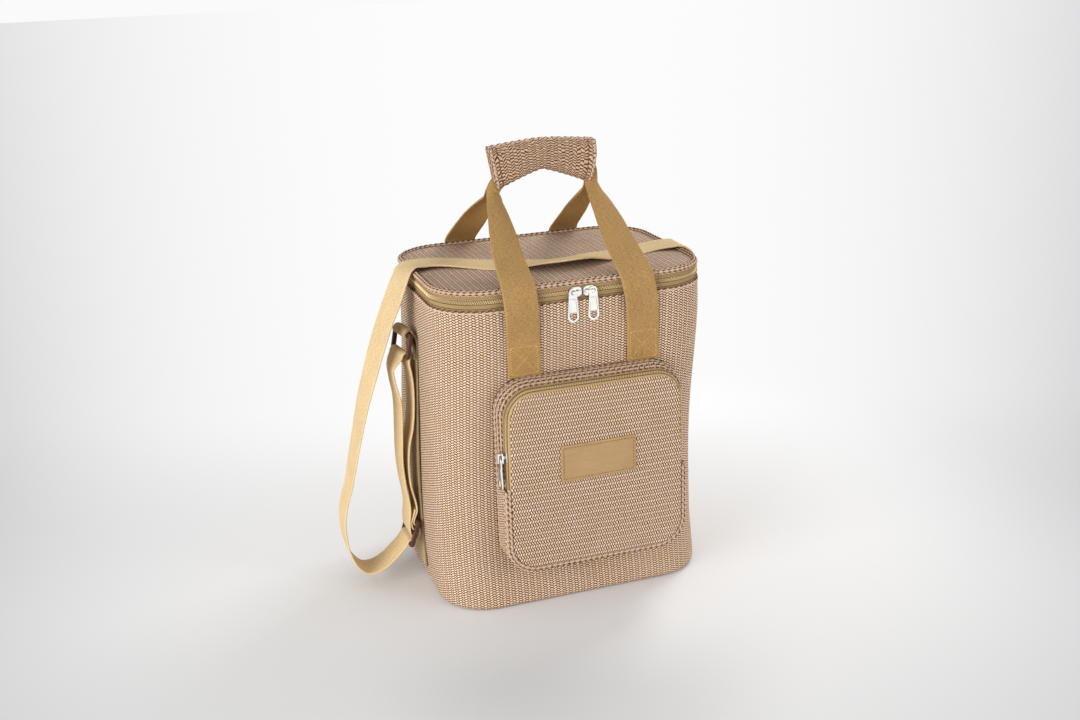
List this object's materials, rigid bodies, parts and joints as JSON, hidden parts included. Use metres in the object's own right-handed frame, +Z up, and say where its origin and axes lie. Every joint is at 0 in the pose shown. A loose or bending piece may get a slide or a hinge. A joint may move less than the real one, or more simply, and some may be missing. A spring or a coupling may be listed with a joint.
{
  "type": "insulated cooler bag",
  "caption": "Soft insulated cooler bag of ribbed woven fabric, with a zipped lid, a zipped front pocket, a wrapped webbing grip and an adjustable shoulder strap.",
  "frame": {"origin": "centre of the base, on the ground", "axes": "+Z up, -Y out of the front with the pocket, +X to the right seen from the front"},
  "size_m": [0.3723, 0.2403, 0.429],
  "materials": {
    "weave": "rough woven ribs, matt",
    "webbing": "matt webbing",
    "strap_webbing": "matt webbing",
    "zip_tape": "matt woven tape",
    "zip_coil": "satin",
    "foam": "closed-cell foam, matt",
    "liner_foil": "satin foil",
    "board": "matt",
    "nickel": "polished",
    "buckle": "satin",
    "label_tape": "matt woven tape"
  },
  "bodies": {
    "bag": {"outer_shell": "weave", "base_board": "board", "foam_tub": "foam", "liner": "liner_foil", "lower_zip_tape": "zip_tape", "lower_zip_coil": "zip_coil", "hinge_strip": "zip_tape", "sewn_end_front_left": "webbing", "sewn_end_front_right": "webbing", "sewn_end_back_left": "webbing", "sewn_end_back_right": "webbing", "pocket_gusset": "weave", "pocket_front": "weave", "pocket_outer_tape": "zip_tape", "pocket_outer_coil": "zip_coil", "ring_left": "buckle", "ring_right": "buckle", "side_anchor_left": "strap_webbing", "side_anchor_right": "strap_webbing", "shoulder_strap": "strap_webbing"},
    "lid": {"lid_panel": "weave", "lid_rim": "weave", "lid_foam": "foam", "lid_liner": "liner_foil", "upper_zip_tape": "zip_tape", "upper_zip_coil": "zip_coil", "lid_hinge_edge": "zip_tape"},
    "handle_front": {"front_handle": "webbing", "grip_wrap_front": "weave"},
    "handle_back": {"back_handle": "webbing", "grip_wrap_back": "weave"},
    "slider_left": {"main_slider_left": "nickel"},
    "puller_left": {"main_puller_left": "nickel"},
    "slider_right": {"main_slider_right": "nickel"},
    "puller_right": {"main_puller_right": "nickel"},
    "flap": {"pocket_flap": "weave", "pocket_flap_binding": "zip_tape", "pocket_inner_tape": "zip_tape", "pocket_inner_coil": "zip_coil", "pocket_label": "label_tape"},
    "slider_pocket": {"pocket_slider": "nickel"},
    "puller_pocket": {"pocket_puller": "nickel"},
    "adjuster": {"strap_adjuster": "buckle"}
  },
  "joints": [
    {"name": "lid_open", "type": "hinge", "parent": "bag", "child": "lid", "pos_m": [0, 0.102, 0.3047], "axis": [-1, 0, 0], "range_deg": [0, 100], "deforming": ["front_handle", "back_handle", "shoulder_strap"]},
    {"name": "handle_front_swing", "type": "hinge", "parent": "bag", "child": "handle_front", "pos_m": [0, -0.1035, 0.2626], "axis": [1, 0, 0], "range_deg": [0, 120], "deforming": ["front_handle"]},
    {"name": "handle_back_swing", "type": "hinge", "parent": "bag", "child": "handle_back", "pos_m": [0, 0.1035, 0.2626], "axis": [-1, 0, 0], "range_deg": [0, 120], "deforming": ["back_handle"]},
    {"name": "main_slider_left_slide", "type": "slide", "parent": "bag", "child": "slider_left", "axis": [-1, 0, 0], "range_m": [0, 0.022]},
    {"name": "main_puller_left_swing", "type": "hinge", "parent": "slider_left", "child": "puller_left", "pos_m": [-0.00986, -0.1029, 0.3047], "axis": [0, 1, 0], "range_deg": [-8, 70]},
    {"name": "main_slider_right_slide", "type": "slide", "parent": "bag", "child": "slider_right", "axis": [1, 0, 0], "range_m": [0, 0.022]},
    {"name": "main_puller_right_swing", "type": "hinge", "parent": "slider_right", "child": "puller_right", "pos_m": [0.00986, -0.1029, 0.3047], "axis": [0, -1, 0], "range_deg": [-8, 70]},
    {"name": "pocket_flap_open", "type": "hinge", "parent": "bag", "child": "flap", "pos_m": [0, -0.1316, 0.134], "axis": [1, 0, 0], "range_deg": [0, 60]},
    {"name": "pocket_slider_slide", "type": "slide", "parent": "bag", "child": "slider_pocket", "axis": [0, 0, -1], "range_m": [0, 0.026]},
    {"name": "pocket_puller_swing", "type": "hinge", "parent": "slider_pocket", "child": "puller_pocket", "pos_m": [-0.09187, -0.1247, 0.16234], "axis": [-1, 0, 0], "range_deg": [-45, 60]},
    {"name": "adjuster_slide", "type": "slide", "parent": "bag", "child": "adjuster", "axis": [0, 0, 1], "range_m": [0, 0.09], "deforming": ["shoulder_strap"]}
  ],
  "couplings": [
    {"joint": "handle_front_swing", "follows": "lid_open", "ratio": 1.2},
    {"joint": "handle_back_swing", "follows": "lid_open", "ratio": 1.2}
  ]
}
